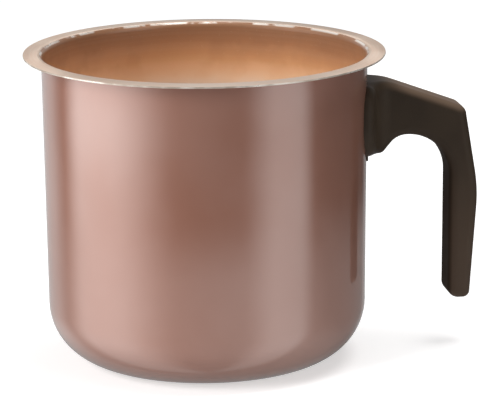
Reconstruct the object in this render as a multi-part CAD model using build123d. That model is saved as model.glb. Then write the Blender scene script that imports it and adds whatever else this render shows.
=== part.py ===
from build123d import *
from math import asin, atan2, cos, degrees, pi, radians, sin
import os

# One-handled milk pot: a deep drawn aluminium shell with a flared lip, and a moulded hook handle
# that a single screw pulls onto a bracket riveted to the wall.
# Millimetres. Z is the pot's axis, Z = 0 is the table, and the handle points along +X.

# Pot shell
pot_height = 138.5
wall = 0.8
base_diameter = 141.0  # outside of the wall, carried down to the table
mouth_diameter = 144.0  # outside of the wall, where the lip turns out
lip_overhang = 8.0
lip_bend = 2.2  # radius of the underside of the lip
corner_radius = 26.0  # outside radius between base and wall
edge_round = 0.25  # on both corners of the lip's cut edge

# Handle in its side view: "out" is measured from the wall beside the boss, "fall" from the flat
# top of the root
root_drop = 15.5  # from the rim down to the flat top of the root
handle_width = 19.5
slope_start_out = 9.35  # the top is flat up to here, then falls to the shoulder
shoulder_out = 45.1  # outer shoulder, before it is rounded
shoulder_fall = 13.3
knuckle_out = 51.2  # furthest point of the grip
knuckle_fall = 51.0
grip_end_out = 47.4
grip_end_fall = 101.3
grip_heel_out = 37.4  # inner side of the grip, at its lower end
grip_inner_out = 37.9  # inner side of the grip, under the arch
arch_fall = 24.9  # underside of the arm, over the fingers
arch_start_out = 14.25  # where the arch turns down to the boss
boss_out = 6.75
boss_fall = 32.6  # flat underside of the boss beside the wall
root_round = 24.0
shoulder_round = 5.0
knuckle_round = 70.0
grip_end_round = 3.0
grip_heel_round = 5.0
arch_round = 18.8
arch_start_round = 10.0
boss_round = 4.0
handle_edge_round = 4.0

# Saddle at the root of the handle, which hugs the wall
saddle_thickness = 4.2
saddle_blend = 9.0  # between the wings and the sides of the arm
saddle_top_half_width = 26.8
saddle_top_round = 10.0
saddle_flare = 1.4  # how much wider it is on each side at the boss
saddle_low_flat = 2.45  # straight on each side of the arm, before the low corner's rounding
saddle_gap = 0.05  # between the saddle and the wall
chin_drop = 3.7  # how far the saddle's thin lip hangs below the boss
chin_inset = 2.2  # how far its sides lean in at the top, where the wings cover them
chin_fall = 10.8  # its upper end, behind the wings
chin_round = 22.0
chin_thickness = 0.8

# Bracket: a curved plate on the wall with a tongue folded out into the handle
plate_thickness = 1.2
plate_inset = 4.8  # inside the saddle's narrow top, on each side
plate_low_fall = 25.8
plate_seat = 0.03  # between the plate and the wall
tongue_fall = 11.2  # top face of the tongue
tongue_width = 12.0
tongue_out = 22.05
tongue_round = 3.0
fold_radius = 1.2
fold_leg = 4.0  # flat length of the strip below the tongue
pocket_clearance = 0.3

# Rivets
rivet_inset = 6.5  # inside the plate's side edge
rivet_fall = 19.3
rivet_diameter = 4.0
rivet_head_diameter = 8.4
rivet_head = 1.1
rivet_tail_diameter = 6.4
rivet_tail = 1.2
rivet_edge = 0.35
rivet_fit = 0.04
seat_gap = 0.02

# Screw, spring washer and square nut, M5
screw_out = 16.55
screw_diameter = 5.0
screw_length = 12.0
screw_head_diameter = 9.4
screw_head = 3.6
screw_head_round = 1.6
screw_tip_chamfer = 0.6
cross_length = 5.2
cross_width = 1.1
cross_depth = 2.2
cross_taper = 8.0
screw_hole_diameter = 5.5
screw_land = 5.5  # handle material between the washer and the tongue
washer_diameter = 9.0
washer_hole_diameter = 5.2
washer_thickness = 1.2
washer_split = 0.9
counterbore_diameter = 10.4
nut_width = 8.0
nut_thickness = 2.7
nut_corner_diameter = 10.9
nut_clearance = 0.25
thread_gap = 0.05

mouth_radius = mouth_diameter / 2
base_radius = base_diameter / 2
lip_radius = mouth_radius + lip_overhang
bend_height = pot_height - wall
far = 2 * lip_radius
saddle_low_half_width = saddle_top_half_width + saddle_flare
saddle_low_round = saddle_low_half_width - handle_width / 2 - saddle_low_flat
plate_half_width = saddle_top_half_width - plate_inset
plate_half_angle = degrees(asin(plate_half_width / mouth_radius))
rivet_half_angle = degrees(asin((plate_half_width - rivet_inset) / mouth_radius))


def wall_radius(height, out=0.0):
    # outside radius of the drafted wall, moved out along its normal
    lean = atan2(mouth_radius - base_radius, bend_height)
    return base_radius + (mouth_radius - base_radius) * height / bend_height + out / cos(lean)


root_top = pot_height - root_drop
boss_height = root_top - boss_fall
root_reach = wall_radius(boss_height)
chin_height = boss_height - chin_drop
tongue_height = root_top - tongue_fall
tongue_reach = root_reach + tongue_out
tongue_floor = tongue_height - plate_thickness
leg_heights = (tongue_height, tongue_floor - fold_leg)
leg_reach = max(wall_radius(height, plate_seat) for height in leg_heights)
plate_low_height = root_top - plate_low_fall
plate_out = plate_seat + plate_thickness
screw_reach = root_reach + screw_out
screw_seat = tongue_floor - seat_gap - screw_land
washer_floor = screw_seat - seat_gap - washer_thickness
screw_shoulder = washer_floor - seat_gap
nut_floor = tongue_height + seat_gap


def turned(outline):
    # a half section drawn as reach and height, turned about the pot's axis
    return revolve(Plane.XZ * make_face(outline), Axis.Z)


def drum(low, high, out):
    # everything inside a surface that follows the wall at a distance
    side = Polyline(
        (0, low),
        (wall_radius(low, out), low),
        (wall_radius(high, out), high),
        (0, high),
        close=True,
    )
    return turned(side)


def wall_band(low, high, out_from, out_to, half_angle):
    # a curved plate that follows the wall, centred on the handle's plane
    band = Polyline(
        (wall_radius(low, out_from), low),
        (wall_radius(low, out_to), low),
        (wall_radius(high, out_to), high),
        (wall_radius(high, out_from), high),
        close=True,
    )
    return Rot(0, 0, -half_angle) * revolve(Plane.XZ * make_face(band), Axis.Z, 2 * half_angle)


def on_wall(angle, height):
    # a frame on the outside of the wall, its own Z pointing straight out
    turn = radians(angle)
    reach = wall_radius(height)
    return Plane(
        origin=(reach * cos(turn), reach * sin(turn), height),
        x_dir=(-sin(turn), cos(turn), 0),
        z_dir=(cos(turn), sin(turn), 0),
    )


def rod(diameter, low, high):
    # a round bar along its own Z
    return Pos(0, 0, low) * Cylinder(diameter / 2, high - low, align=(Align.CENTER, Align.CENTER, Align.MIN))


def block(reach_from, reach_to, width, low, high):
    return Pos(reach_from, 0, low) * Box(
        reach_to - reach_from, width, high - low, align=(Align.MIN, Align.CENTER, Align.MIN)
    )


def at_screw(solid):
    return Pos(screw_reach, 0, 0) * solid


rivet_places = [on_wall(side * rivet_half_angle, root_top - rivet_fall) for side in (-1, 1)]


def make_pot():
    line = FilletPolyline(
        (0, 0),
        (base_radius, 0),
        (mouth_radius, bend_height),
        (lip_radius, bend_height),
        radius=(corner_radius, lip_bend),
    )
    shell = turned(offset(line, wall, side=Side.LEFT, closed=True))
    cut_edge = shell.edges().filter_by(lambda edge: edge.length > 2 * pi * (mouth_radius + lip_bend))
    shell = fillet(cut_edge, edge_round)
    for place in rivet_places:
        shell -= place * rod(rivet_diameter + 2 * rivet_fit, -2 * wall, 2 * wall)
    return shell


def make_bracket():
    fold = FilletPolyline(
        (leg_reach, tongue_floor - fold_leg),
        (leg_reach, tongue_height),
        (tongue_reach, tongue_height),
        radius=fold_radius + plate_thickness,
    )
    strip = offset(fold, plate_thickness, side=Side.RIGHT, closed=True)
    tongue = extrude(Plane.XZ * make_face(strip), tongue_width / 2, both=True)
    tip = tongue.edges().filter_by(Axis.Z).sort_by(Axis.X)[-2:]
    bracket = fillet(tip, tongue_round)
    plate_top = tongue_floor - fold_radius
    bracket += wall_band(plate_low_height, plate_top, plate_seat, plate_out, plate_half_angle)
    for place in rivet_places:
        bracket -= place * rod(rivet_diameter + 2 * rivet_fit, -wall, 2 * plate_out)
    bracket -= at_screw(rod(screw_hole_diameter, tongue_floor - wall, tongue_height + wall))
    return bracket


def make_rivet(place):
    inside = drum(0, pot_height, -wall - seat_gap)
    plate_face = drum(0, pot_height, plate_out + seat_gap)
    head = rod(rivet_head_diameter, -wall - rivet_head, 0)
    head = place * fillet(head.edges().group_by(Axis.Z)[0], rivet_edge) & inside
    tail = rod(rivet_tail_diameter, 0, plate_out + rivet_tail)
    tail = place * fillet(tail.edges().group_by(Axis.Z)[-1], rivet_edge) - plate_face
    shank = place * rod(rivet_diameter, -wall - rivet_head / 2, plate_out + rivet_tail / 2)
    return head + shank + tail


def make_arm():
    # the hook, cut from its side view, its plan with the two wings, and the front view of the wings
    into_wall = 2 * saddle_thickness
    side = FilletPolyline(
        (-into_wall, 0),
        (slope_start_out, 0),
        (shoulder_out, -shoulder_fall),
        (knuckle_out, -knuckle_fall),
        (grip_end_out, -grip_end_fall),
        (grip_heel_out, -grip_end_fall),
        (grip_inner_out, -arch_fall),
        (arch_start_out, -arch_fall),
        (boss_out, -boss_fall),
        (-into_wall, -boss_fall),
        close=True,
        radius=(
            0,
            root_round,
            shoulder_round,
            knuckle_round,
            grip_end_round,
            grip_heel_round,
            arch_round,
            arch_start_round,
            boss_round,
            0,
        ),
    )
    body = Pos(root_reach, 0, root_top) * extrude(Plane.XZ * make_face(side), far, both=True)
    saddle_radius = wall_radius(boss_height, saddle_thickness)
    plan = Circle(saddle_radius) + Pos(far / 2, 0) * Rectangle(far, handle_width)
    neck = plan.vertices().filter_by(lambda vertex: saddle_radius / 2 < vertex.X < far / 2)
    body &= extrude(fillet(neck, saddle_blend), pot_height)
    wings = FilletPolyline(
        (saddle_top_half_width, root_top),
        (saddle_low_half_width, boss_height),
        (-saddle_low_half_width, boss_height),
        (-saddle_top_half_width, root_top),
        close=True,
        radius=(saddle_top_round, saddle_low_round, saddle_low_round, saddle_top_round),
    )
    below = Pos(0, boss_height / 2) * Rectangle(handle_width, boss_height)
    body &= extrude(Plane.YZ * (make_face(wings) + below), far)
    # the two long edges of the sloping top; the rounding runs on from them all the way round
    lines = body.edges().filter_by(GeomType.LINE)
    upper = lines.filter_by(lambda edge: edge.center().Z > root_top - shoulder_fall)
    slope = upper.filter_by(lambda edge: edge.center().X > root_reach + slope_start_out)
    return fillet(slope, handle_edge_round)


def make_chin():
    # the thin lip of the saddle, which tapers down the wall below the boss
    top_half_width = saddle_low_half_width - chin_inset
    outline = FilletPolyline(
        (top_half_width, root_top - chin_fall),
        (saddle_low_half_width, chin_height),
        (-saddle_low_half_width, chin_height),
        (-top_half_width, root_top - chin_fall),
        close=True,
        radius=(0, chin_round, chin_round, 0),
    )
    shape = extrude(Plane.YZ * make_face(outline), far)
    return shape & drum(0, pot_height, chin_thickness)


def make_handle():
    body = make_arm() + make_chin() - drum(0, pot_height, saddle_gap)
    plate_edge = degrees(pocket_clearance / mouth_radius)
    body -= wall_band(
        plate_low_height - pocket_clearance,
        tongue_height + pocket_clearance,
        -wall,
        plate_out + pocket_clearance,
        plate_half_angle + plate_edge,
    )
    for place in rivet_places:
        tail_reach = plate_out + rivet_tail + pocket_clearance
        body -= place * rod(rivet_tail_diameter + 2 * pocket_clearance, -wall, tail_reach)
    slot_start = wall_radius(tongue_height, -wall)
    slot_width = tongue_width + 2 * pocket_clearance
    fold_reach = leg_reach + plate_thickness + fold_radius + pocket_clearance
    fold_low = tongue_floor - fold_leg - pocket_clearance
    body -= block(slot_start, fold_reach, slot_width, fold_low, tongue_height)
    slot_end = tongue_reach + pocket_clearance
    slot_top = tongue_height + pocket_clearance
    body -= block(slot_start, slot_end, slot_width, tongue_floor - seat_gap, slot_top)
    channel_width = nut_width + 2 * nut_clearance
    channel_end = screw_reach + nut_width / 2 + nut_clearance
    channel_top = nut_floor + nut_thickness + pocket_clearance
    body -= block(slot_start, channel_end, channel_width, tongue_height, channel_top)
    screw_tip = screw_shoulder + screw_length
    body -= at_screw(rod(screw_hole_diameter, screw_shoulder, screw_tip + pocket_clearance))
    return body - at_screw(rod(counterbore_diameter, boss_height, screw_seat))


def make_screw():
    head = at_screw(rod(screw_head_diameter, screw_shoulder - screw_head, screw_shoulder))
    head = fillet(head.edges().group_by(Axis.Z)[0], screw_head_round)
    shank = at_screw(rod(screw_diameter, screw_shoulder, screw_shoulder + screw_length))
    shank = chamfer(shank.edges().group_by(Axis.Z)[-1], screw_tip_chamfer)
    cross = Rectangle(cross_length, cross_width) + Rectangle(cross_width, cross_length)
    recess = extrude(cross, cross_depth, taper=cross_taper)
    return head + shank - Pos(screw_reach, 0, screw_shoulder - screw_head) * recess


def make_washer():
    ring = rod(washer_diameter, washer_floor, washer_floor + washer_thickness)
    ring -= rod(washer_hole_diameter, washer_floor, washer_floor + washer_thickness)
    split = block(0, washer_diameter, washer_split, washer_floor, washer_floor + washer_thickness)
    return at_screw(ring - split)


def make_nut():
    square = Box(nut_width, nut_width, nut_thickness, align=(Align.CENTER, Align.CENTER, Align.MIN))
    nut = Pos(0, 0, nut_floor) * square & rod(nut_corner_diameter, nut_floor, nut_floor + nut_thickness)
    bore = nut_floor - seat_gap
    nut -= rod(screw_diameter + 2 * thread_gap, bore, nut_floor + 2 * nut_thickness)
    return at_screw(nut)


nodes = {
    "pot_body": make_pot(),
    "handle": make_handle(),
    "handle_bracket": make_bracket(),
    "bracket_rivets": Compound(children=[make_rivet(place) for place in rivet_places]),
    "bracket_nut": make_nut(),
    "screw_washer": make_washer(),
    "handle_screw": make_screw(),
}
os.makedirs("parts", exist_ok=True)
for name, solid in nodes.items():
    export_step(solid, f"parts/{name}.step")
    print(name, round(solid.volume, 1))
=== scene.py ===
from math import atan2, cos, pi, radians, sin

import bmesh
import bpy
from mathutils import Matrix, Vector


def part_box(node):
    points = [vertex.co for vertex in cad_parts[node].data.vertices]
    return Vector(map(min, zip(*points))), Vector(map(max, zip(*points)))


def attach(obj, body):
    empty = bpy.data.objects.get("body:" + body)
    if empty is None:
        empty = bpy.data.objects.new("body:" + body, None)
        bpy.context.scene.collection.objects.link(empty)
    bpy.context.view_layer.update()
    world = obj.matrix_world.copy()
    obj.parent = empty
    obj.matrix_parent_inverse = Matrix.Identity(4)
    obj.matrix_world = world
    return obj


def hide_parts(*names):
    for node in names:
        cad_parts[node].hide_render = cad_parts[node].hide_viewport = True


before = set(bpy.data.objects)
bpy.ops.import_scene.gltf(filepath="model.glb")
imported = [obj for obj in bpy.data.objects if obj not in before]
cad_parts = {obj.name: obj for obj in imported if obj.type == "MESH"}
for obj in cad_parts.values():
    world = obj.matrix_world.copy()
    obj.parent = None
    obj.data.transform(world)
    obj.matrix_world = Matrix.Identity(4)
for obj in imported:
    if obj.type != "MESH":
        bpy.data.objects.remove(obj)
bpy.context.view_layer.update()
scene = bpy.context.scene
scene.view_settings.view_transform = "Standard"
print("frame loaded:", sorted(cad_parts))


cameraView = {
    "lens": 228.05,
    "sensor": 36.0,
    "distance": 1.4125,
    "aimAcross": 0.01961,  # right of the pot's axis
    "aimHeight": 0.07022,
    "pitch": 0.2356,  # looking down, radians
    "turn": radians(9.0),  # between the handle's direction and the camera's right
    "roll": -0.0085,
    "clipStart": 0.1,
}


def addCamera():
    view = cameraView
    right = Vector((cos(view["turn"]), -sin(view["turn"]), 0))
    levelAhead = Vector((sin(view["turn"]), cos(view["turn"]), 0))
    ahead = levelAhead * cos(view["pitch"]) - Vector((0, 0, sin(view["pitch"])))
    up = right.cross(ahead)
    across = cos(view["roll"]) * right + sin(view["roll"]) * up
    upward = cos(view["roll"]) * up - sin(view["roll"]) * right
    place = right * view["aimAcross"] + Vector((0, 0, view["aimHeight"])) - ahead * view["distance"]
    data = bpy.data.cameras.new("mainCamera")
    data.lens = view["lens"]
    data.sensor_width = view["sensor"]
    data.clip_start = view["clipStart"]
    camera = bpy.data.objects.new("mainCamera", data)
    scene.collection.objects.link(camera)
    turned = Matrix((across, upward, -ahead)).transposed()
    camera.matrix_world = Matrix.Translation(place) @ turned.to_4x4()
    scene.camera = camera
    return right, ahead


viewRight, viewAhead = addCamera()
print("camera set")


class Shader:
    # the nodes of one material, group or world, with short ways to add, set and join them

    def __init__(self, tree):
        self.tree = tree

    def add(self, kind, **settings):
        node = self.tree.nodes.new(kind)
        for name, value in settings.items():
            setattr(node, name, value)
        return node

    def join(self, out, into):
        self.tree.links.new(out, into)

    def put(self, socket, value):
        if isinstance(value, bpy.types.NodeSocket):
            self.join(value, socket)
        else:
            socket.default_value = value

    def place(self):
        return self.add("ShaderNodeTexCoord").outputs["Object"]

    def split(self, vector):
        node = self.add("ShaderNodeSeparateXYZ")
        self.join(vector, node.inputs["Vector"])
        return node.outputs

    def unit(self, vector):
        node = self.add("ShaderNodeVectorMath", operation="NORMALIZE")
        self.join(vector, node.inputs[0])
        return node.outputs["Vector"]

    def length(self, vector):
        node = self.add("ShaderNodeVectorMath", operation="LENGTH")
        self.join(vector, node.inputs[0])
        return node.outputs["Value"]

    def along(self, vector, direction):
        # how far the vector reaches in this direction
        node = self.add("ShaderNodeVectorMath", operation="DOT_PRODUCT")
        self.join(vector, node.inputs[0])
        node.inputs[1].default_value = direction
        return node.outputs["Value"]

    def maths(self, operation, a, b, clamp=False):
        node = self.add("ShaderNodeMath", operation=operation, use_clamp=clamp)
        self.put(node.inputs[0], a)
        self.put(node.inputs[1], b)
        return node.outputs[0]

    def plus(self, a, b):
        return self.maths("ADD", a, b)

    def times(self, a, b):
        return self.maths("MULTIPLY", a, b)

    def spread(self, value, low, high, toLow=0.0, toHigh=1.0, smooth=True):
        node = self.add("ShaderNodeMapRange", interpolation_type="SMOOTHSTEP" if smooth else "LINEAR")
        self.put(node.inputs["Value"], value)
        self.put(node.inputs["From Min"], low)
        self.put(node.inputs["From Max"], high)
        self.put(node.inputs["To Min"], toLow)
        self.put(node.inputs["To Max"], toHigh)
        return node.outputs["Result"]

    def between(self, mask, ends):
        # the first of the two ends where the mask is 0, the second where it is 1
        return self.spread(mask, 0.0, 1.0, *ends)

    def mixColour(self, factor, a, b):
        node = self.add("ShaderNodeMix", data_type="RGBA")
        self.put(node.inputs["Factor"], factor)
        self.put(node.inputs["A"], a)
        self.put(node.inputs["B"], b)
        return node.outputs["Result"]

    def noise(self, vector, scale, detail):
        node = self.add("ShaderNodeTexNoise")
        self.join(vector, node.inputs["Vector"])
        self.put(node.inputs["Scale"], scale)
        node.inputs["Detail"].default_value = detail
        return node.outputs["Fac"]


def newMaterial(name):
    material = bpy.data.materials.new(name)
    material.use_nodes = True
    shader = Shader(material.node_tree)
    sockets = material.node_tree.nodes["Principled BSDF"].inputs
    return material, shader, sockets


def newGroup(name, inputs, outputs):
    # a node group that takes a vector and numbers, and gives masks
    group = bpy.data.node_groups.new(name, "ShaderNodeTree")
    group.interface.new_socket("Vector", in_out="INPUT", socket_type="NodeSocketVector")
    for label in inputs:
        group.interface.new_socket(label, in_out="INPUT", socket_type="NodeSocketFloat")
    for label in outputs:
        group.interface.new_socket(label, in_out="OUTPUT", socket_type="NodeSocketFloat")
    shader = Shader(group)
    given = shader.add("NodeGroupInput").outputs
    result = shader.add("NodeGroupOutput").inputs
    return group, shader, given, result


def rgb(red, green, blue):
    return (red, green, blue, 1.0)


wearMasks = {
    "hazeDetail": 3.0,
    "hazeLevels": (0.35, 0.68),  # no haze where the noise is below the first, full haze above the second
    "speckDetail": 1.0,
    "speckLevels": (0.66, 0.76),  # higher levels leave fewer specks
}


def makeHandlingWear():
    # cloudy haze and fine rubbed specks, as masks between 0 and 1
    wear = wearMasks
    group, shader, given, result = newGroup(
        "handlingWear", ("Haze Scale", "Speck Scale"), ("Haze", "Specks"),
    )
    haze = shader.noise(given["Vector"], given["Haze Scale"], wear["hazeDetail"])
    specks = shader.noise(given["Vector"], given["Speck Scale"], wear["speckDetail"])
    shader.join(shader.spread(haze, *wear["hazeLevels"]), result["Haze"])
    shader.join(shader.spread(specks, *wear["speckLevels"]), result["Specks"])
    return group


turningRings = {
    "driftScale": 14.0,
    "drift": 0.004,  # how far the rings wander
    "detail": 3.0,
    "levels": (0.3, 0.7),
}


def makeTurningMarks():
    # fine rings left by spinning the shell, counted along the metal from the axis outwards and up
    rings = turningRings
    group, shader, given, result = newGroup("turningMarks", ("Ring Scale",), ("Marks",))
    parts = shader.split(given["Vector"])
    flat = shader.add("ShaderNodeCombineXYZ")
    shader.join(parts["X"], flat.inputs["X"])
    shader.join(parts["Y"], flat.inputs["Y"])
    drift = shader.times(shader.noise(given["Vector"], rings["driftScale"], detail=1.0), rings["drift"])
    outAndUp = shader.plus(shader.length(flat.outputs["Vector"]), parts["Z"])
    waves = shader.add("ShaderNodeTexNoise", noise_dimensions="1D")
    waves.inputs["Detail"].default_value = rings["detail"]
    shader.join(shader.plus(outAndUp, drift), waves.inputs["W"])
    shader.join(given["Ring Scale"], waves.inputs["Scale"])
    shader.join(shader.spread(waves.outputs["Fac"], *rings["levels"]), result["Marks"])
    return group


handlingWear = makeHandlingWear()
turningMarks = makeTurningMarks()


def addWear(shader, place, finish):
    wear = shader.add("ShaderNodeGroup", node_tree=handlingWear)
    shader.join(place, wear.inputs["Vector"])
    wear.inputs["Haze Scale"].default_value = finish["hazeScale"]
    wear.inputs["Speck Scale"].default_value = finish["speckScale"]
    return wear.outputs["Haze"], wear.outputs["Specks"]


def addTurning(shader, place, finish):
    turned = shader.add("ShaderNodeGroup", node_tree=turningMarks)
    shader.join(place, turned.inputs["Vector"])
    turned.inputs["Ring Scale"].default_value = finish["ringScale"]
    return turned.outputs["Marks"]


def addBump(shader, sockets, height, finish):
    bump = shader.add("ShaderNodeBump")
    bump.inputs["Strength"].default_value = finish["bumpStrength"]
    bump.inputs["Distance"].default_value = finish["bumpHeight"]
    shader.join(height, bump.inputs["Height"])
    shader.join(bump.outputs["Normal"], sockets["Normal"])


roseFinish = {
    "tone": rgb(0.365, 0.161, 0.109),
    "hazyTone": rgb(0.403, 0.200, 0.148),
    "hazeScale": 16.0,
    "speckScale": 700.0,
    "metal": 0.30,
    "roughness": (0.36, 0.41),  # where it is clear, and where it is hazy
    "coatRoughness": 0.06,
    "coatIor": 2.0,
    "orangePeel": 260.0,
    "speckHeight": 0.3,
    "bumpStrength": 0.02,
    "bumpHeight": 0.0001,
}


def makeRoseLacquer():
    finish = roseFinish
    material, shader, sockets = newMaterial("roseLacquer")
    place = shader.place()
    haze, specks = addWear(shader, place, finish)
    shader.join(shader.mixColour(haze, finish["tone"], finish["hazyTone"]), sockets["Base Color"])
    sockets["Metallic"].default_value = finish["metal"]
    shader.join(shader.between(haze, finish["roughness"]), sockets["Roughness"])
    sockets["Coat Weight"].default_value = 1.0
    sockets["Coat Roughness"].default_value = finish["coatRoughness"]
    sockets["Coat IOR"].default_value = finish["coatIor"]
    peel = shader.noise(place, finish["orangePeel"], detail=1.0)
    addBump(shader, sockets, shader.plus(peel, shader.times(specks, finish["speckHeight"])), finish)
    return material


copperFinish = {
    "paintedShadeAndSheen": (  # painted shade and sheen: height on the wall and colour there, dark under the lip, pale lower down, the coat's own copper deeper still
        (0.134, rgb(0.32, 0.158, 0.084)),
        (0.128, rgb(0.44, 0.216, 0.106)),
        (0.120, rgb(0.71, 0.39, 0.20)),
        (0.113, rgb(0.93, 0.65, 0.43)),
        (0.105, rgb(0.95, 0.84, 0.72)),
        (0.070, rgb(0.82, 0.53, 0.33)),
    ),
    "toneDrift": 0.0007,  # the haze moves those heights up and down by this much
    "fleck": rgb(0.95, 0.72, 0.50),
    "speckShare": 0.05,
    "ringShare": 0.02,
    "hazeScale": 60.0,
    "speckScale": 900.0,
    "ringScale": 700.0,
    "paintedLightTone": rgb(0.97, 0.88, 0.79),  # painted highlights: pale streaks on the bend under the lip
    "streakMetal": 0.45,
    "streakScale": 85.0,
    "streakLevels": (0.44, 0.54),
    "streakHeights": (0.1371, 0.1377),  # no patch below the first, full patches above the second
    "streakSmoother": 0.2,
    "metal": 0.15,
    "roughness": (0.36, 0.46),
    "coat": 0.6,
    "coatRoughness": 0.12,
    "waveScale": 110.0,
    "waveHeights": (0.128, 0.137),  # slight waves start at the first and are full at the second
    "ringHeight": 0.02,
    "bumpStrength": 0.6,
    "bumpHeight": 0.0004,
}


# painted shade under the lip and a painted sheen below it, as colours up the wall
def addPaintedShadeAndSheen(shader, height):
    top, topTone = copperFinish["paintedShadeAndSheen"][0]
    bottom, bottomTone = copperFinish["paintedShadeAndSheen"][-1]
    paintedShadeAndSheen = shader.add("ShaderNodeValToRGB")
    ramp = paintedShadeAndSheen.color_ramp
    ramp.interpolation = "CARDINAL"
    ramp.elements[0].color = topTone
    ramp.elements[1].color = bottomTone
    for level, tone in copperFinish["paintedShadeAndSheen"][1:-1]:
        ramp.elements.new((top - level) / (top - bottom)).color = tone
    shader.join(shader.spread(height, top, bottom, smooth=False), paintedShadeAndSheen.inputs["Fac"])
    return paintedShadeAndSheen.outputs["Color"]


def makeCopperCoat():
    finish = copperFinish
    material, shader, sockets = newMaterial("copperCoat")
    place = shader.place()
    haze, specks = addWear(shader, place, finish)
    marks = addTurning(shader, place, finish)
    up = shader.split(place)["Z"]
    drift = shader.between(haze, (-finish["toneDrift"], finish["toneDrift"]))
    # the painted shade and sheen, by height
    tone = addPaintedShadeAndSheen(shader, shader.plus(up, drift))
    bright = shader.plus(
        shader.times(specks, finish["speckShare"]), shader.times(marks, finish["ringShare"]),
    )
    tone = shader.mixColour(bright, tone, finish["fleck"])
    # painted highlights: pale streaks on the bend under the lip, where the metal is also shinier and
    # smoother
    patches = shader.spread(
        shader.noise(place, finish["streakScale"], detail=3.0), *finish["streakLevels"],
    )
    paintedLight = shader.times(patches, shader.spread(up, *finish["streakHeights"]))
    shader.join(shader.mixColour(paintedLight, tone, finish["paintedLightTone"]), sockets["Base Color"])
    shader.join(shader.between(paintedLight, (finish["metal"], finish["streakMetal"])), sockets["Metallic"])
    rough = shader.between(haze, finish["roughness"])
    smoother = shader.times(paintedLight, finish["streakSmoother"])
    shader.join(shader.maths("SUBTRACT", rough, smoother), sockets["Roughness"])
    sockets["Coat Weight"].default_value = finish["coat"]
    sockets["Coat Roughness"].default_value = finish["coatRoughness"]
    waves = shader.times(
        shader.noise(place, finish["waveScale"], detail=2.0), shader.spread(up, *finish["waveHeights"]),
    )
    addBump(shader, sockets, shader.plus(waves, shader.times(marks, finish["ringHeight"])), finish)
    return material


lipFinish = {
    "tone": rgb(0.88, 0.66, 0.52),
    "hazyTone": rgb(0.93, 0.77, 0.65),
    "hazeShare": 0.6,
    "ringShare": 0.3,
    "hazeScale": 60.0,
    "speckScale": 1100.0,
    "ringScale": 1300.0,
    "metal": 0.75,
    "roughness": (0.33, 0.40),
    "brushed": 0.95,  # draws the highlights out round the axis
    "waveScale": 110.0,
    "ringHeight": 0.1,
    "bumpStrength": 0.3,
    "bumpHeight": 0.0002,
}


def makeLipCopper():
    # the same coat over the top of the lip, where the turning marks show through
    finish = lipFinish
    material, shader, sockets = newMaterial("lipCopper")
    place = shader.place()
    haze, specks = addWear(shader, place, finish)
    marks = addTurning(shader, place, finish)
    cloudy = shader.plus(
        shader.times(haze, finish["hazeShare"]), shader.times(marks, finish["ringShare"]),
    )
    shader.join(shader.mixColour(cloudy, finish["tone"], finish["hazyTone"]), sockets["Base Color"])
    sockets["Metallic"].default_value = finish["metal"]
    worn = shader.maths("MAXIMUM", haze, specks)
    shader.join(shader.between(worn, finish["roughness"]), sockets["Roughness"])
    sockets["Anisotropic"].default_value = finish["brushed"]
    around = shader.add("ShaderNodeTangent", direction_type="RADIAL", axis="Z")
    shader.join(around.outputs["Tangent"], sockets["Tangent"])
    waves = shader.noise(place, finish["waveScale"], detail=2.0)
    addBump(shader, sockets, shader.plus(waves, shader.times(marks, finish["ringHeight"])), finish)
    return material


edgeFinish = {
    "tone": rgb(0.54, 0.45, 0.37),
    "paintedGlintTone": rgb(0.98, 0.91, 0.82),  # painted glints: pale dashes along the cut edge
    "hazeScale": 90.0,
    "speckScale": 1500.0,
    "metal": 0.5,
    "roughness": (0.40, 0.26),  # dull, and smoother under the painted glints
    "bumpStrength": 0.05,
    "bumpHeight": 0.00005,
}


def makeBareEdge():
    finish = edgeFinish
    material, shader, sockets = newMaterial("bareEdge")
    haze, specks = addWear(shader, shader.place(), finish)
    # painted glints: the haze turns the edge pale in dashes
    shader.join(shader.mixColour(haze, finish["tone"], finish["paintedGlintTone"]), sockets["Base Color"])
    sockets["Metallic"].default_value = finish["metal"]
    shader.join(shader.between(haze, finish["roughness"]), sockets["Roughness"])
    addBump(shader, sockets, specks, finish)
    return material


phenolicFinish = {
    "tone": rgb(0.041, 0.028, 0.018),
    "hazyTone": rgb(0.049, 0.034, 0.022),
    "fleck": rgb(0.07, 0.05, 0.036),
    "speckShare": 0.25,
    "hazeScale": 55.0,
    "speckScale": 1300.0,
    "lowerGripPaintedLight": rgb(0.082, 0.055, 0.038),  # painted light: paler down the grip
    "lowerGripHeights": (0.105, 0.030),  # none above the first, full below the second
    "innerPaintedShade": rgb(0.035, 0.024, 0.016),  # painted shade: dark on the side towards the pot, which is also dull
    "innerFacing": (-0.55, -0.95),  # how squarely a face turns to the pot: none, and full
    "innerDuller": 0.4,
    "paintedLightTone": rgb(0.17, 0.115, 0.080),  # painted light: paler on top, where the light from above falls
    "paintedTopFacing": (0.12, 0.8),  # how squarely a face turns up: none, and full
    "paintedTopShare": 0.85,
    "paintedTopReach": (0.076, 0.092),  # from the axis: none in the lip's painted shadow, full clear of it
    "roughness": (0.51, 0.60),
    "gloss": 0.2,
    "grainScale": 1400.0,
    "bumpStrength": 0.06,
    "bumpHeight": 0.0001,
}


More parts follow.
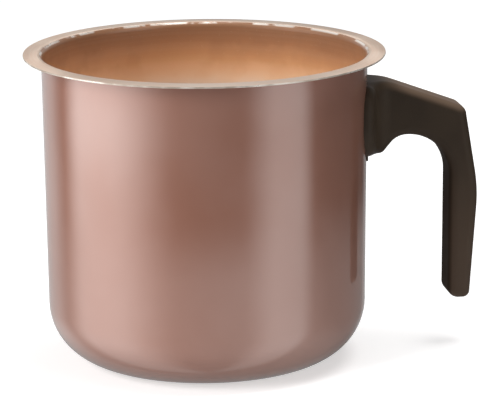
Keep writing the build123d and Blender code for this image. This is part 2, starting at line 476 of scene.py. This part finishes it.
def makePhenolic():
    finish = phenolicFinish
    material, shader, sockets = newMaterial("brownPhenolic")
    place = shader.place()
    haze, specks = addWear(shader, place, finish)
    where = shader.split(place)
    facing = shader.split(shader.add("ShaderNodeNewGeometry").outputs["Normal"])
    tone = shader.mixColour(haze, finish["tone"], finish["hazyTone"])
    tone = shader.mixColour(shader.times(specks, finish["speckShare"]), tone, finish["fleck"])
    # painted light: paler lower down the grip
    tone = shader.mixColour(shader.spread(where["Z"], *finish["lowerGripHeights"]), tone, finish["lowerGripPaintedLight"])
    # painted shade on the side towards the pot, which is also made duller
    inner = shader.spread(facing["X"], *finish["innerFacing"])
    tone = shader.mixColour(inner, tone, finish["innerPaintedShade"])
    # painted light on top, cut off near the wall as the lip's painted shadow
    paintedLight = shader.times(shader.spread(facing["Z"], *finish["paintedTopFacing"]), finish["paintedTopShare"])
    paintedLight = shader.times(paintedLight, shader.spread(where["X"], *finish["paintedTopReach"]))
    shader.join(shader.mixColour(paintedLight, tone, finish["paintedLightTone"]), sockets["Base Color"])
    rough = shader.between(haze, finish["roughness"])
    duller = shader.times(inner, finish["innerDuller"])
    shader.join(shader.plus(rough, duller), sockets["Roughness"])
    sockets["Specular IOR Level"].default_value = finish["gloss"]
    addBump(shader, sockets, shader.noise(place, finish["grainScale"], detail=2.0), finish)
    return material


metalFinish = {
    "darkening": 0.86,  # the haze takes the tone down to this much of itself
    "hazeScale": 200.0,
    "speckScale": 2500.0,
    "bumpStrength": 0.05,
    "bumpHeight": 0.00005,
}


def makePlainMetal(name, tone, roughness):
    finish = metalFinish
    material, shader, sockets = newMaterial(name)
    haze, specks = addWear(shader, shader.place(), finish)
    darkTone = [finish["darkening"] * part for part in tone]
    shader.join(shader.mixColour(haze, rgb(*darkTone), rgb(*tone)), sockets["Base Color"])
    sockets["Metallic"].default_value = 1.0
    shader.join(shader.between(haze, roughness), sockets["Roughness"])
    addBump(shader, sockets, specks, finish)
    return material


roseLacquer = makeRoseLacquer()
copperCoat = makeCopperCoat()
lipCopper = makeLipCopper()
bareEdge = makeBareEdge()
brownPhenolic = makePhenolic()
zincPlate = makePlainMetal("zincPlate", (0.66, 0.67, 0.68), (0.28, 0.40))
rivetAluminium = makePlainMetal("rivetAluminium", (0.84, 0.84, 0.85), (0.32, 0.44))
print("finishes made")


def newObject(name, bm):
    mesh = bpy.data.meshes.new(name)
    bm.to_mesh(mesh)
    bm.free()
    thing = bpy.data.objects.new(name, mesh)
    scene.collection.objects.link(thing)
    return thing


potLow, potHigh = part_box("pot_body")

potSizes = {
    "rimRadius": (potHigh.x - potLow.x) / 2,
    "height": potHigh.z,
    "mouthRadius": 0.072,  # outside of the wall, carried up to the lip
    "baseRadius": 0.0705,  # outside of the wall, carried down to the floor
    "wall": 0.0008,
    "cornerRadius": 0.026,  # outside
    "cornerSteps": 18,
    "lipBend": 0.0022,  # under the lip
    "lipSteps": 8,
    "lipFall": 0.0005,  # the lip's edge lies this much lower than its crest
    "lipFrom": 0.0727,  # the brushed copper of the lip starts here, on the bend
    "edgeRound": 0.00022,
    "edgeSteps": 3,
    "longLine": 0.02,  # a line longer than this is divided
    "longCuts": 6,
    "turns": 288,
    "hair": 1e-6,  # a length that counts as none
}

lipSlope = atan2(potSizes["lipFall"], potSizes["rimRadius"] - potSizes["mouthRadius"])
rimReach = potSizes["rimRadius"] - potSizes["wall"] * sin(lipSlope)  # the lower edge of the sloping rim

shellFinishes = {"outside": roseLacquer, "inside": copperCoat, "lipTop": lipCopper, "cutEdge": bareEdge}


def addRounded(bm, corner, radius, segments):
    # a rounded corner of the open outline: radius is turned into the bevel's run along each side
    before, after = [edge.other_vert(corner).co - corner.co for edge in corner.link_edges]
    half = before.angle(after) / 2
    run = radius * cos(half) / sin(half)
    bmesh.ops.bevel(
        bm, geom=[corner], offset=run, offset_type="OFFSET", affect="VERTICES",
        segments=segments, profile=0.5, material=-1, clamp_overlap=True,
    )


def spinShell(bm):
    # the outline of the pot's outside, from the middle of the base to the rim, turned round the axis
    pot = potSizes
    under = pot["height"] - pot["wall"]
    crest = (pot["mouthRadius"], under)
    corners = [(0, 0), (pot["baseRadius"], 0), crest, (rimReach, under - pot["lipFall"])]
    line = [bm.verts.new((reach, 0, height)) for reach, height in corners]
    for start, end in zip(line, line[1:]):
        bm.edges.new((start, end))
    addRounded(bm, line[2], pot["lipBend"], pot["lipSteps"])
    addRounded(bm, line[1], pot["cornerRadius"], pot["cornerSteps"])
    longOnes = [edge for edge in bm.edges if edge.calc_length() > pot["longLine"]]
    bmesh.ops.subdivide_edges(bm, edges=longOnes, cuts=pot["longCuts"])
    bmesh.ops.spin(
        bm, geom=bm.verts[:] + bm.edges[:], cent=(0, 0, 0), axis=(0, 0, 1), dvec=(0, 0, 0),
        angle=2 * pi, steps=pot["turns"], use_merge=True, use_duplicate=False,
    )
    bmesh.ops.remove_doubles(bm, verts=bm.verts[:], dist=pot["hair"])
    bmesh.ops.recalc_face_normals(bm, faces=bm.faces[:])
    base = [face for face in bm.faces if face.calc_center_median().z < pot["hair"]]
    if sum(face.normal.z for face in base) > 0:
        bmesh.ops.reverse_faces(bm, faces=bm.faces[:])


def roundRim(bm):
    pot = potSizes
    edges = []
    for edge in bm.edges:
        start, end = [vert.co for vert in edge.verts]
        outermost = min(start.xy.length, end.xy.length) > rimReach - pot["hair"]
        if outermost and abs(start.z - end.z) < pot["hair"]:
            edges.append(edge)
    bmesh.ops.bevel(
        bm, geom=edges, offset=pot["edgeRound"], offset_type="OFFSET", affect="EDGES",
        segments=pot["edgeSteps"], profile=0.5, material=-1, clamp_overlap=True,
    )


def finishOf(face):
    pot = potSizes
    middle = face.calc_center_median()
    reach = middle.xy.length
    outward = face.normal.xy.dot(middle.xy.normalized()) if reach > pot["hair"] else 0.0
    if reach > rimReach - pot["edgeRound"] / 2:
        return "cutEdge"
    if outward > face.normal.z:
        return "outside"
    return "lipTop" if reach > pot["lipFrom"] else "inside"


def makePot():
    bm = bmesh.new()
    spinShell(bm)
    bmesh.ops.solidify(bm, geom=bm.faces[:], thickness=potSizes["wall"])
    top = max(vert.co.z for vert in bm.verts)  # a little low, because the lip falls away from its crest
    bmesh.ops.scale(bm, vec=(1, 1, potSizes["height"] / top), verts=bm.verts[:])
    roundRim(bm)
    parts = list(shellFinishes)
    for face in bm.faces:
        face.material_index = parts.index(finishOf(face))
        face.smooth = True
    shell = newObject("potShell", bm)
    for material in shellFinishes.values():
        shell.data.materials.append(material)
    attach(shell, "root")
    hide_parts("pot_body")
    print("pot:", len(shell.data.polygons), "faces")


makePot()


cadFinishes = {
    "handle": brownPhenolic,
    "handle_bracket": zincPlate,
    "bracket_nut": zincPlate,
    "screw_washer": zincPlate,
    "handle_screw": zincPlate,
    "bracket_rivets": rivetAluminium,
}

for node, material in cadFinishes.items():
    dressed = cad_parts[node].data.materials
    dressed.clear()
    dressed.append(material)
print("handle and fixings dressed")


def grey(level):
    return rgb(level, level, level)


def aimed(degrees):
    # a level direction, turned from straight at the camera towards its right
    towards = -Vector((viewAhead.x, viewAhead.y, 0)).normalized()
    return towards * cos(radians(degrees)) + viewRight * sin(radians(degrees))


objectLight = 0.16  # how strongly the world lights the object, while the camera and reflections see white


def setWorld():
    world = bpy.data.worlds.new("studioWorld")
    scene.world = world
    world.use_nodes = True
    shader = Shader(world.node_tree)
    background = world.node_tree.nodes["Background"].inputs
    path = shader.add("ShaderNodeLightPath").outputs
    seen = shader.maths("MAXIMUM", path["Is Camera Ray"], path["Is Glossy Ray"])
    seen = shader.maths("MAXIMUM", seen, path["Is Transmission Ray"])
    level = shader.spread(seen, 0.0, 1.0, objectLight, 1.0, smooth=False)
    shader.join(level, background["Strength"])
    background["Color"].default_value = grey(1)


paleFloor = {
    "size": 6.0,
    "drop": 0.0002,  # it lies this much under the pot
    "grey": 0.8,
    "roughness": 0.9,
    "glow": 0.55,  # brings it up to white for the camera
    "footReach": 0.045,  # from the axis to where the pot stands on it
    "footFade": 0.055,  # wide, from dark under the pot to plain
    "underPot": 0.06,  # painted shade: how much shows through it in reflections, under the pot and round it
    "roundPot": 0.6,
    "ends": (0.22, 0.38),  # from the axis, where it fades out of reflections
    "sheenAngle": -15,  # its sheen is strongest here, in degrees from the camera towards its right
    "sheenFacing": (-0.3, 0.7),  # how squarely a spot lies that way: least sheen, and most
    "sheenLevels": (0.22, 0.57),  # behind the pot, and in front of it
    "sheenUnderPot": 0.5,  # of the sheen further out, as painted shade under the pot
}


def addMirroredFloor(shader, isGlossy, plain):
    # reflections see a tint of what lies behind the floor, and a painted sheen round the pot, darkened by
    # painted shade under it
    floor = paleFloor
    place = shader.place()
    reach = shader.length(place)
    gone = shader.spread(reach, *floor["ends"])
    clearOfPot = shader.spread(reach, floor["footReach"], floor["footReach"] + floor["footFade"])
    tint = shader.mixColour(gone, grey(floor["roundPot"]), grey(1))
    clear = shader.add("ShaderNodeBsdfTransparent")
    shader.join(shader.mixColour(clearOfPot, grey(floor["underPot"]), tint), clear.inputs["Color"])
    ahead = shader.along(shader.unit(place), aimed(floor["sheenAngle"]))
    lit = shader.spread(ahead, *floor["sheenFacing"], *floor["sheenLevels"])
    shown = shader.maths(
        "SUBTRACT", shader.between(clearOfPot, (floor["sheenUnderPot"], 1.0)), gone, clamp=True,
    )
    sheen = shader.add("ShaderNodeEmission")
    shader.join(shader.times(lit, shown), sheen.inputs["Strength"])
    mirrored = shader.add("ShaderNodeAddShader")
    shader.join(clear.outputs["BSDF"], mirrored.inputs[0])
    shader.join(sheen.outputs["Emission"], mirrored.inputs[1])
    mixed = shader.add("ShaderNodeMixShader")
    shader.join(isGlossy, mixed.inputs["Fac"])
    shader.join(plain, mixed.inputs[1])
    shader.join(mirrored.outputs["Shader"], mixed.inputs[2])
    return mixed.outputs["Shader"]


def addFloor():
    bm = bmesh.new()
    bmesh.ops.create_grid(bm, x_segments=1, y_segments=1, size=paleFloor["size"] / 2)
    floor = newObject("studioFloor", bm)
    floor.location.z = -paleFloor["drop"]
    material, shader, sockets = newMaterial("paleFloor")
    sockets["Base Color"].default_value = grey(paleFloor["grey"])
    sockets["Roughness"].default_value = paleFloor["roughness"]
    sockets["Emission Color"].default_value = grey(1)
    path = shader.add("ShaderNodeLightPath").outputs
    shader.join(shader.times(path["Is Camera Ray"], paleFloor["glow"]), sockets["Emission Strength"])
    nodes = material.node_tree.nodes
    surface = addMirroredFloor(shader, path["Is Glossy Ray"], nodes["Principled BSDF"].outputs["BSDF"])
    shader.join(surface, nodes["Material Output"].inputs["Surface"])
    material.cycles.emission_sampling = "NONE"
    floor.data.materials.append(material)


def newGlow(thing):
    # a material that only glows, on a thing that only reflections see
    material = bpy.data.materials.new(thing.name)
    material.use_nodes = True
    material.cycles.emission_sampling = "NONE"
    material.node_tree.nodes.clear()
    thing.data.materials.append(material)
    thing.visible_camera = False
    thing.visible_diffuse = False
    thing.visible_shadow = False
    thing.visible_transmission = False
    shader = Shader(material.node_tree)
    glow = shader.add("ShaderNodeEmission")
    out = shader.add("ShaderNodeOutputMaterial")
    shader.join(glow.outputs["Emission"], out.inputs["Surface"])
    return shader, glow.inputs["Strength"]


paperTent = {
    "reach": 1.0,
    "low": -0.9,
    "high": 1.3,
    "sides": 96,
    "level": 0.05,
    "lowToMiddle": (-0.17, -0.10),  # heights where a soft box goes from its low strength to its middle one
    "middleToHigh": (0.12, 0.30),  # and on to its high one
}

# soft boxes behind the paper: angle from the camera towards its right, half of the even part, fade on each
# side, and strength low down, at the object's height and high up
softBoxes = {
    "left": (-82, 12, 22, 54, 1.4, 2.05, 0.8),
    "leftBack": (-150, 14, 18, 22, 0.6, 0.6, 0.1),
    "right": (60, 8, 28, 16, 1.05, 1.05, 0.9),
    "rightBack": (168, 10, 10, 12, 0.25, 0.25, 0.05),
    "backHigh": (180, 25, 45, 45, 0.0, 0.0, 0.4),
}


def softBoxGlow(shader, place, up, box):
    angle, even, fadeBefore, fadeAfter, low, middle, high = box
    # the angle away from the middle of this box
    away = shader.maths(
        "ARCTAN2", shader.along(place, aimed(angle + 90)), shader.along(place, aimed(angle)),
    )
    rise = shader.spread(away, -radians(even + fadeBefore), -radians(even))
    fall = shader.spread(away, radians(even), radians(even + fadeAfter), 1.0, 0.0)
    strength = shader.plus(
        shader.spread(up, *paperTent["lowToMiddle"], low, middle),
        shader.spread(up, *paperTent["middleToHigh"], 0.0, high - middle),
    )
    return shader.times(shader.times(rise, fall), strength)


def addTent():
    # a round paper tent with soft boxes behind it, which only shows in reflections
    low, high = paperTent["low"], paperTent["high"]
    bm = bmesh.new()
    bmesh.ops.create_cone(
        bm, cap_ends=True, cap_tris=False, segments=paperTent["sides"], depth=high - low,
        radius1=paperTent["reach"], radius2=paperTent["reach"],
        matrix=Matrix.Translation((0, 0, (high + low) / 2)),
    )
    tent = newObject("studioTent", bm)
    shader, strength = newGlow(tent)
    place = shader.place()
    up = shader.split(place)["Z"]
    level = paperTent["level"]
    for box in softBoxes.values():
        level = shader.plus(level, softBoxGlow(shader, place, up, box))
    shader.join(level, strength)


ceilingBox = {
    "across": 0.5,  # as the camera sees it
    "along": 1.0,
    "behind": 0.12,  # its middle is this far behind the pot
    "level": 2.2,
}


def addCeilingBox():
    # the long soft box overhead, which only shows in reflections
    bm = bmesh.new()
    bmesh.ops.create_grid(bm, x_segments=1, y_segments=1, size=0.5)  # a square with sides of 1
    bmesh.ops.scale(bm, vec=(ceilingBox["across"], ceilingBox["along"], 1), verts=bm.verts[:])
    box = newObject("ceilingBox", bm)
    box.location = aimed(180) * ceilingBox["behind"] + Vector((0, 0, paperTent["high"]))
    box.rotation_euler.z = -cameraView["turn"]
    shader, strength = newGlow(box)
    shader.put(strength, ceilingBox["level"])


# angle from the camera towards its right, height, reach from the axis, size and power
lamps = {
    "keyLight": (-55, 0.7, 1.35, 0.9, 19),
    "fillLight": (50, 0.7, 1.4, 0.7, 1.4),
    "topLight": (105, 1.4, 0.35, 0.9, 13.5),
}

lampsAim = Vector((0, 0, 0.07))  # the middle of the pot


def addLamp(name, angle, height, reach, size, power):
    data = bpy.data.lights.new(name, "AREA")
    data.shape = "RECTANGLE"
    data.size = size
    data.size_y = size
    data.energy = power
    lamp = bpy.data.objects.new(name, data)
    scene.collection.objects.link(lamp)
    lamp.location = aimed(angle) * reach + Vector((0, 0, height))
    lamp.rotation_euler = (lampsAim - lamp.location).to_track_quat("-Z", "Y").to_euler()
    lamp.visible_glossy = False
    lamp.visible_camera = False


setWorld()
addFloor()
addTent()
addCeilingBox()
for name, lamp in lamps.items():
    addLamp(name, *lamp)
print("studio lit")
